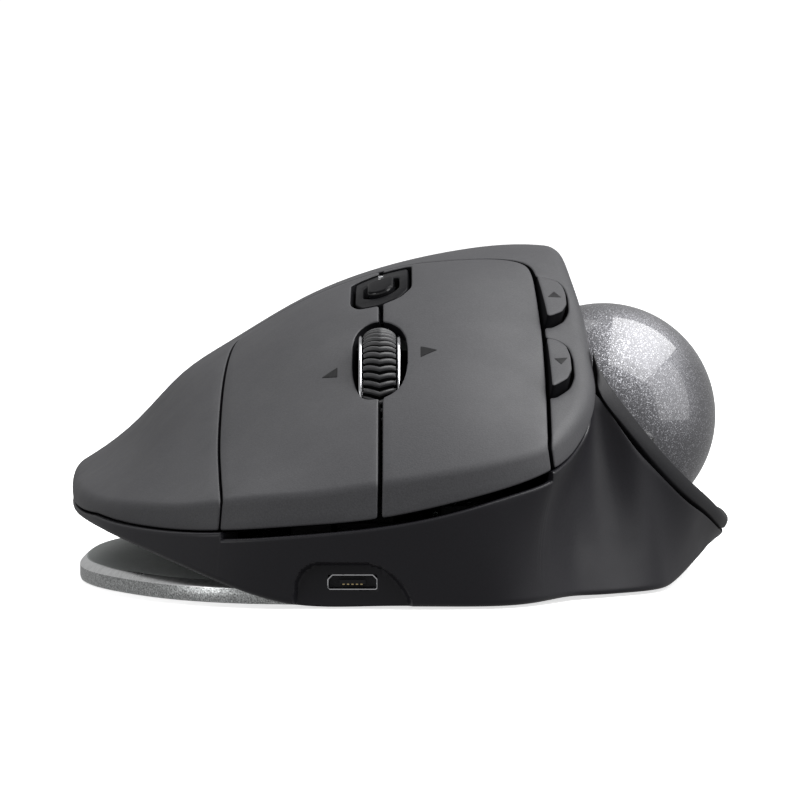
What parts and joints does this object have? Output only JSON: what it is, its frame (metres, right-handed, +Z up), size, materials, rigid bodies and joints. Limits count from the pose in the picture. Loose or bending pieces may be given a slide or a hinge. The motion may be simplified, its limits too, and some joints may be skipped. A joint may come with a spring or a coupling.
{
  "type": "trackball mouse",
  "caption": "Thumb-operated trackball mouse: curved palm shell with main buttons, tilting scroll wheel, thumb ball and keys, on a steel base plate that tips it 20 degrees.",
  "frame": {"origin": "on the desk, on the underside of the base plate's grip pad, under the middle of the hand", "axes": "+X towards the thumb side and the ball, +Y towards the palm, +Z up; the nose with its port points to -Y"},
  "size_m": [0.1002, 0.1323, 0.0503],
  "materials": {
    "soft_touch": "fine-grained soft-touch coating, matte",
    "satin_black": "satin moulded plastic",
    "gloss_black": "polished plastic",
    "ball_lacquer": "dark grey pearl lacquer under a clear gloss coat",
    "steel": "satin steel with a polished bevel",
    "chrome": "bright plate",
    "rubber": "matte rubber",
    "ceramic": "polished ceramic",
    "board": "solder-masked circuit board",
    "cell": "foil-wrapped cell",
    "clear": "clear moulded plastic"
  },
  "bodies": {
    "base": {"base_plate": "steel", "plate_grip_pad": "rubber", "hinge_lug_front": "steel", "hinge_lug_rear": "steel", "hinge_pin": "steel"},
    "housing": {"back_switch": "satin_black", "ball_socket": "satin_black", "battery": "cell", "bottom_cover": "satin_black", "bottom_screw_1": "steel", "bottom_screw_2": "steel", "bottom_screw_3": "steel", "bottom_screw_4": "steel", "forward_switch": "satin_black", "led_window_1": "clear", "led_window_2": "clear", "left_switch": "satin_black", "lower_housing": "satin_black", "magnet_flat": "steel", "magnet_tilt": "steel", "main_board": "board", "precision_switch": "satin_black", "right_switch": "satin_black", "selector_bezel": "satin_black", "selector_board": "board", "selector_switch": "satin_black", "sensor_board": "board", "sensor_chip": "satin_black", "sensor_lens": "clear", "side_board": "board", "socket_bearing_1": "ceramic", "socket_bearing_2": "ceramic", "socket_bearing_3": "ceramic", "thumb_rest": "soft_touch", "thumb_rim": "satin_black", "top_cover": "soft_touch", "usb_port": "chrome", "usb_tongue": "satin_black", "wheel_click_switch": "satin_black"},
    "left_button": {"left_button": "soft_touch"},
    "right_button": {"right_button": "soft_touch"},
    "forward_button": {"forward_button": "soft_touch"},
    "back_button": {"back_button": "soft_touch"},
    "selector_button": {"selector_button": "gloss_black"},
    "precision_button": {"precision_button": "gloss_black"},
    "power_slider": {"power_slider": "gloss_black"},
    "trackball": {"trackball": "ball_lacquer"},
    "yoke": {"wheel_yoke": "satin_black", "tilt_switch_pinky": "board", "tilt_switch_thumb": "board"},
    "carrier": {"wheel_carrier": "satin_black", "wheel_encoder": "board"},
    "wheel": {"wheel_hub": "satin_black", "wheel_tyre": "rubber", "wheel_rim_pinky": "chrome", "wheel_rim_thumb": "chrome", "wheel_axle": "steel"}
  },
  "joints": [
    {"name": "base_tilt", "type": "hinge", "parent": "base", "child": "housing", "pos_m": [-0.02, 0, 0.0049], "axis": [0, -1, 0], "range_deg": [0, 20]},
    {"name": "left_button_press", "type": "hinge", "parent": "housing", "child": "left_button", "pos_m": [0.009, -0.008, 0.046], "axis": [1, 0, 0], "range_deg": [0, 0.7], "stiffness_Nm_per_rad": 2.3},
    {"name": "right_button_press", "type": "hinge", "parent": "housing", "child": "right_button", "pos_m": [-0.014, -0.004, 0.043], "axis": [1, 0, 0], "range_deg": [0, 0.7], "stiffness_Nm_per_rad": 2.3},
    {"name": "forward_button_press", "type": "slide", "parent": "housing", "child": "forward_button", "axis": [-0.1003, 0.2507, -0.9628], "range_m": [0, 0.0005], "stiffness_N_per_m": 1200},
    {"name": "back_button_press", "type": "slide", "parent": "housing", "child": "back_button", "axis": [-0.1003, 0.2507, -0.9628], "range_m": [0, 0.0005], "stiffness_N_per_m": 1200},
    {"name": "selector_press", "type": "slide", "parent": "housing", "child": "selector_button", "axis": [0, 0.4311, -0.9023], "range_m": [0, 0.0004], "stiffness_N_per_m": 1500},
    {"name": "precision_press", "type": "slide", "parent": "housing", "child": "precision_button", "axis": [-0.3509, 0.2506, -0.9023], "range_m": [0, 0.0005], "stiffness_N_per_m": 1200},
    {"name": "power_slide", "type": "slide", "parent": "housing", "child": "power_slider", "axis": [0, 1, 0], "range_m": [0, 0.0025]},
    {"name": "ball_spin", "type": "hinge", "parent": "housing", "child": "trackball", "pos_m": [0.0308, -0.008, 0.025], "axis": [-0.638, 0, 0.77], "continuous": true},
    {"name": "wheel_press", "type": "hinge", "parent": "housing", "child": "yoke", "pos_m": [-0.003, -0.014, 0.0118], "axis": [1, 0, 0], "range_deg": [0, 1], "stiffness_Nm_per_rad": 2},
    {"name": "wheel_tilt", "type": "hinge", "parent": "yoke", "child": "carrier", "pos_m": [-0.003, -0.034, 0.0132], "axis": [0, 1, 0], "range_deg": [-0.8, 0.8], "stiffness_Nm_per_rad": 0.6},
    {"name": "wheel_spin", "type": "hinge", "parent": "carrier", "child": "wheel", "pos_m": [-0.003, -0.034, 0.0272], "axis": [1, 0, 0], "continuous": true}
  ]
}
